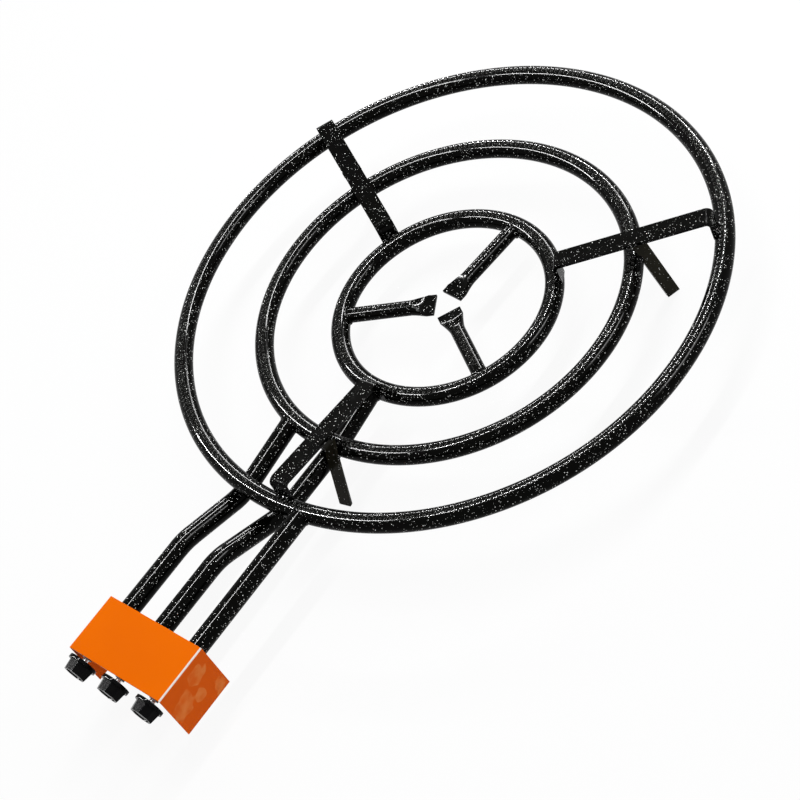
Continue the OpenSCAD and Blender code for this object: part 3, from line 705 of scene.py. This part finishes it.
def make_springs():
    """Return springs of round wire in the taps, riding on their plugs."""
    for i in (1, 2, 3):
        node = f"plug_spring_{i}"
        low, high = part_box(node)
        middle = (low + high) / 2
        coil_r = (high.x - low.x) / 2 - WIRE_R
        run = high.y - low.y - 2 * WIRE_R
        steps = SPRING_TURNS * SPRING_STEPS
        bm = bmesh.new()
        loops = []
        for k in range(steps + 1):
            turn = 2 * math.pi * k / SPRING_STEPS
            out = Vector((math.cos(turn), 0, math.sin(turn)))
            at = Vector((middle.x, high.y - WIRE_R - run * k / steps, middle.z)) + out * coil_r
            loop = []
            for j in range(WIRE_SIDES):
                a = 2 * math.pi * j / WIRE_SIDES
                along = Vector((0, WIRE_R * math.sin(a), 0))
                loop.append(bm.verts.new(at + out * (WIRE_R * math.cos(a)) + along))
            loops.append(loop)
        for a, b in zip(loops, loops[1:]):
            for j in range(WIRE_SIDES):
                n = (j + 1) % WIRE_SIDES
                bm.faces.new((a[j], a[n], b[n], b[j]))
        bm.faces.new(loops[0])
        bm.faces.new(loops[-1])
        name = f"return_spring_{i}"
        coil = piece(name, finished_mesh(name, bm), "steel", f"tap_plug_{i}")
        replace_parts(coil, node)
        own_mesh(coil)


def area_light(name, at, aim, size, power, long_way, shines_on=None):
    """A lamp of a width and length, with its length along a given way. One that shines on a collection
    shows only in the gloss of its pieces and adds nothing to the level of the light."""
    data = bpy.data.lights.new(name, "AREA")
    data.shape = "RECTANGLE"
    data.size, data.size_y = size
    data.energy = power
    obj = bpy.data.objects.new(name, data)
    bpy.context.scene.collection.objects.link(obj)
    obj.location = at
    back = (Vector(at) - Vector(aim)).normalized()
    length = Vector(long_way)
    length = (length - back * length.dot(back)).normalized()
    obj.rotation_mode = "QUATERNION"
    obj.rotation_quaternion = Matrix((length.cross(back), length, back)).transposed().to_quaternion()
    obj.visible_camera = False
    if shines_on:
        obj.visible_diffuse = False
        obj.light_linking.receiver_collection = shines_on


def make_camera():
    data = bpy.data.cameras.new("camera")
    data.lens = CAMERA_LENS
    data.sensor_width = SENSOR_W
    camera = bpy.data.objects.new("camera", data)
    bpy.context.scene.collection.objects.link(camera)
    camera.location = CAMERA_AT
    camera.rotation_mode = "QUATERNION"
    level = (CAMERA_AIM - CAMERA_AT).to_track_quat("-Z", "Y")
    camera.rotation_quaternion = level @ Quaternion((0, 0, 1), CAMERA_ROLL)
    bpy.context.scene.camera = camera


def seen_directly(tree):
    """One where a ray comes from the camera, a mirror or through glass, else zero."""
    path = tree.nodes.new("ShaderNodeLightPath")
    first = add_node(tree, "ShaderNodeMath", {
        0: path.outputs["Is Camera Ray"], 1: path.outputs["Is Glossy Ray"],
    }, operation="MAXIMUM")
    both = add_node(tree, "ShaderNodeMath", {
        0: first.outputs["Value"], 1: path.outputs["Is Transmission Ray"],
    }, operation="MAXIMUM")
    return both.outputs["Value"]


def gloss_black_pieces():
    """A collection of every piece in enamel and the knobs."""
    found = bpy.data.collections.new("gloss_black")
    black = (MATERIALS["enamel"], MATERIALS["knob_plastic"], BAR_ENAMEL, LEG_ENAMEL_SHEEN)
    for obj in bpy.context.scene.objects:
        if obj.type == "MESH" and any(m in black for m in obj.data.materials):
            found.objects.link(obj)
    return found


def make_stage():
    """A white floor that keeps a faint shadow, a pale surround and soft studio light."""
    floor_mesh = bpy.data.meshes.new("floor")
    level = cad_low.z - FLOOR_DROP
    corners = [(x * FLOOR_HALF, y * FLOOR_HALF, level) for x, y in ((-1, -1), (1, -1), (1, 1), (-1, 1))]
    floor_mesh.from_pydata(corners, [], [(0, 1, 2, 3)])
    floor = bpy.data.objects.new("floor", floor_mesh)
    bpy.context.scene.collection.objects.link(floor)
    material = bpy.data.materials.new("floor")
    material.use_nodes = True
    tree = material.node_tree
    tree.nodes.clear()
    matt = add_node(tree, "ShaderNodeBsdfDiffuse", {"Color": (0.88, 0.88, 0.88, 1)})
    white = add_node(tree, "ShaderNodeEmission", {"Color": (1, 1, 1, 1), "Strength": 1.0})
    share = add_node(tree, "ShaderNodeMath", {
        0: seen_directly(tree), 1: FLOOR_WHITE_SHARE,
    }, operation="MULTIPLY")
    mix = add_node(tree, "ShaderNodeMixShader", {
        0: share.outputs["Value"], 1: matt.outputs["BSDF"], 2: white.outputs["Emission"],
    })
    out = tree.nodes.new("ShaderNodeOutputMaterial")
    tree.links.new(mix.outputs["Shader"], out.inputs["Surface"])
    floor_mesh.materials.append(material)

    world = bpy.data.worlds.new("world")
    bpy.context.scene.world = world
    world.use_nodes = True
    tree = world.node_tree
    tree.nodes.clear()
    soft = add_node(tree, "ShaderNodeBackground", {
        "Color": (0.95, 0.97, 1.0, 1), "Strength": WORLD_LEVEL,
    })
    plain = add_node(tree, "ShaderNodeBackground", {"Color": (1, 1, 1, 1), "Strength": 1.0})
    mix = add_node(tree, "ShaderNodeMixShader", {
        0: seen_directly(tree), 1: soft.outputs["Background"], 2: plain.outputs["Background"],
    })
    out = tree.nodes.new("ShaderNodeOutputWorld")
    tree.links.new(mix.outputs["Shader"], out.inputs["Surface"])

    middle = (0.0, 0.05, 0.06)
    along_x, along_y = (1, 0, 0), (0, 1, 0)
    area_light("overhead", (-0.28, 0.6, 2.0), middle, (0.07, 2.6), 32, along_y)
    area_light("back", (-0.95, 2.15, 1.35), middle, (0.09, 2.6), 28, (0.92, 0.39, 0))
    area_light("side", (2.0, 1.3, 2.0), middle, (0.5, 1.0), 12, along_y)
    shiny = gloss_black_pieces()
    area_light("overhead_shine", (-0.28, 0.6, 1.98), middle, (0.09, 2.6), 400, along_y, shiny)
    area_light("back_shine", (-1.5, 2.1, 1.2), middle, (0.10, 3.0), 240, (0.80, 0.60, 0), shiny)
    area_light("left_shine", (-1.5, -0.8, 2.0), middle, (0.11, 2.2), 560, along_x, shiny)
    area_light("side_shine", (1.7, 1.5, 2.2), middle, (0.4, 1.2), 100, along_y, shiny)


make_camera()
dress_nodes()
for ring in ("outer_ring", "middle_ring", "inner_ring"):
    ring_skin(ring)
for spoke in range(3):
    spoke_skin(spoke)
make_ring_welds()
make_bar_welds()
make_springs()
make_stage()

scene = bpy.context.scene
scene.view_settings.view_transform = "Standard"
